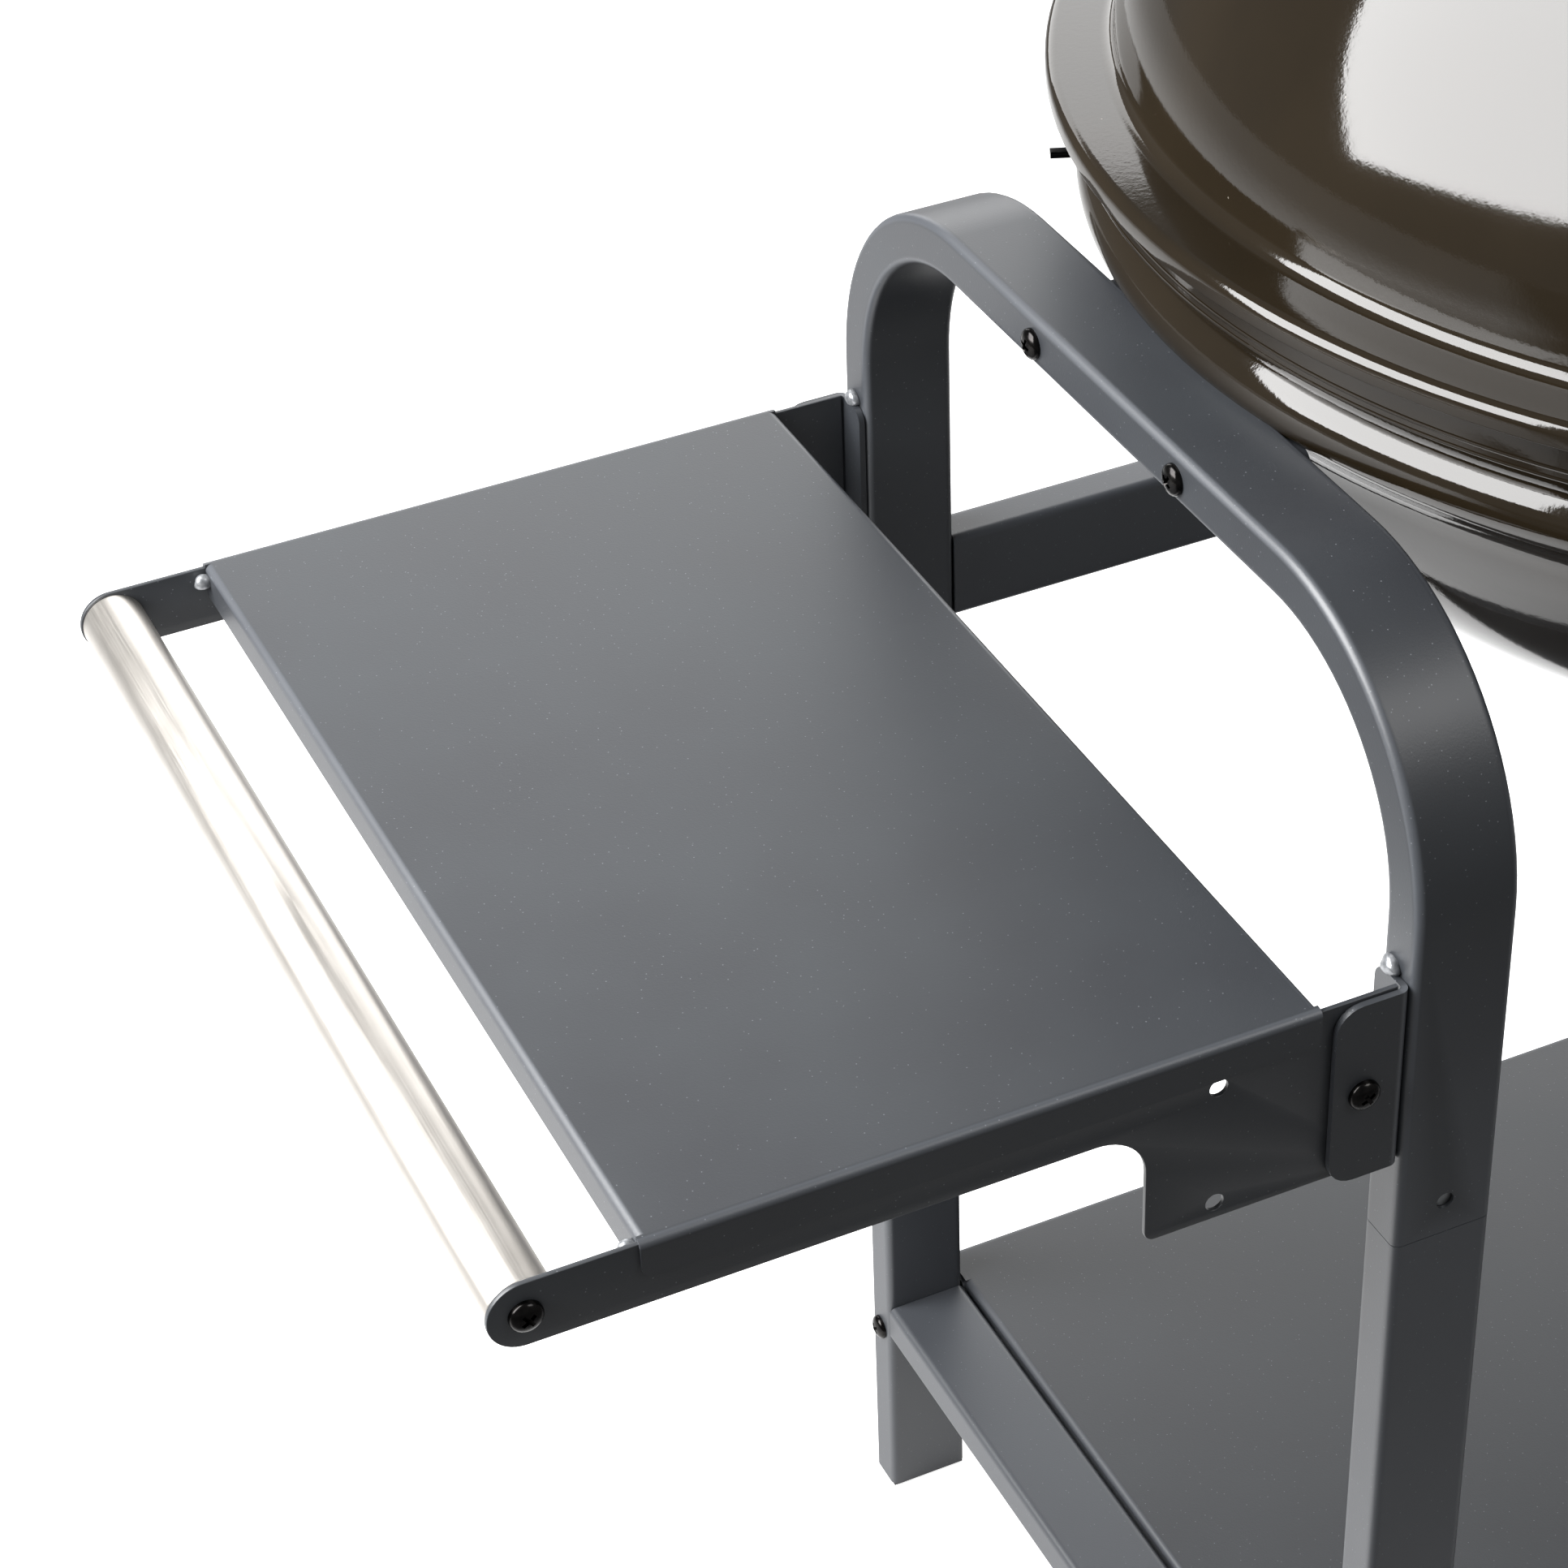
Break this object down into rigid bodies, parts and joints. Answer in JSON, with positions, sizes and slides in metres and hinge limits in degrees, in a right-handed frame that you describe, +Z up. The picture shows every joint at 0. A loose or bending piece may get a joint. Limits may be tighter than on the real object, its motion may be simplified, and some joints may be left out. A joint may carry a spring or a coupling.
{
  "type": "kettle charcoal grill",
  "caption": "Kettle charcoal grill with lift-off lid on a tube-frame cart with a side shelf, handle bar, bottom tray and wheels.",
  "frame": {"origin": "middle of the footprint on the floor; the kettle axis stands 131 mm from it along +X", "axes": "+Z up, +X from the side shelf towards the wheels, +Y from the front to the back"},
  "size_m": [1.078, 0.636, 1.0595],
  "materials": {
    "frame_coat": "fine-textured matt anthracite powder coat",
    "enamel": "high-gloss dark brown-black porcelain enamel",
    "stainless": "fine-brushed stainless steel",
    "chrome_rod": "bright plated wire",
    "zinc_steel": "zinc-plated sheet",
    "black_screw": "black-plated steel",
    "black_plastic": "moulded, lightly textured",
    "tyre": "matt rubber"
  },
  "bodies": {
    "cart": {"left_hoop": "frame_coat", "right_hoop": "frame_coat", "left_front_leg": "frame_coat", "left_back_leg": "frame_coat", "right_front_leg": "frame_coat", "right_back_leg": "frame_coat", "rear_crossbar": "frame_coat", "lower_back_crossbar": "frame_coat", "lower_front_crossbar": "frame_coat", "left_rail": "frame_coat", "right_rail": "frame_coat", "bottom_tray": "frame_coat", "shelf_top": "frame_coat", "shelf_arm_front": "frame_coat", "shelf_arm_back": "frame_coat", "shelf_bracket_front": "frame_coat", "shelf_bracket_back": "frame_coat", "kettle_bracket_left": "frame_coat", "kettle_bracket_right": "frame_coat", "left_front_sleeve": "zinc_steel", "left_back_sleeve": "zinc_steel", "right_front_sleeve": "zinc_steel", "right_back_sleeve": "zinc_steel", "ash_collar": "zinc_steel", "axle": "zinc_steel", "screw_rear_bar_left": "black_screw", "screw_rear_bar_right": "black_screw", "screw_lower_back_left": "black_screw", "screw_lower_back_right": "black_screw", "screw_lower_front_left": "black_screw", "screw_lower_front_right": "black_screw", "screw_kettle_back_left": "black_screw", "screw_kettle_back_right": "black_screw", "screw_kettle_front_left": "black_screw", "screw_kettle_front_right": "black_screw", "screw_handle_front": "black_screw", "screw_handle_back": "black_screw", "screw_shelf_front": "black_screw", "screw_shelf_back": "black_screw", "left_front_glide": "black_plastic", "left_back_glide": "black_plastic", "handle_bar": "stainless", "kettle_bowl": "enamel", "lid_hook": "black_screw", "axle_cap_front": "black_plastic", "axle_cap_back": "black_plastic"},
    "lid": {"kettle_lid": "enamel", "lid_standoff_front": "stainless", "lid_standoff_back": "stainless", "lid_handle": "black_plastic"},
    "lid_vent": {"lid_vent_disc": "stainless"},
    "cooking_grate": {"cooking_grate": "chrome_rod"},
    "charcoal_grate": {"charcoal_grate": "chrome_rod"},
    "damper": {"damper_disc": "zinc_steel", "damper_lever": "stainless"},
    "ash_can": {"ash_can": "zinc_steel"},
    "wheel_front": {"wheel_front": "black_plastic", "tyre_front": "tyre"},
    "wheel_back": {"wheel_back": "black_plastic", "tyre_back": "tyre"}
  },
  "joints": [
    {"name": "lid_lift", "type": "slide", "parent": "cart", "child": "lid", "axis": [0, 0, 1], "range_m": [0, 0.3]},
    {"name": "lid_vent_turn", "type": "hinge", "parent": "lid", "child": "lid_vent", "pos_m": [0.2609, 0.075, 0.97604], "axis": [0.3145, 0.1816, 0.9317], "range_deg": [0, 60]},
    {"name": "cooking_grate_lift", "type": "slide", "parent": "cart", "child": "cooking_grate", "axis": [0, 0, 1], "range_m": [0, 0.018]},
    {"name": "charcoal_grate_lift", "type": "slide", "parent": "cart", "child": "charcoal_grate", "axis": [0, 0, 1], "range_m": [0, 0.1]},
    {"name": "damper_turn", "type": "hinge", "parent": "cart", "child": "damper", "pos_m": [0.131, 0, 0.5855], "axis": [0, 0, 1], "range_deg": [-45, 45]},
    {"name": "ash_can_drop", "type": "slide", "parent": "cart", "child": "ash_can", "axis": [0, 0, -1], "range_m": [0, 0.15]},
    {"name": "wheel_front_spin", "type": "hinge", "parent": "cart", "child": "wheel_front", "pos_m": [0.449, -0.241, 0.09], "axis": [0, 1, 0], "continuous": true},
    {"name": "wheel_back_spin", "type": "hinge", "parent": "cart", "child": "wheel_back", "pos_m": [0.449, 0.241, 0.09], "axis": [0, 1, 0], "continuous": true}
  ]
}
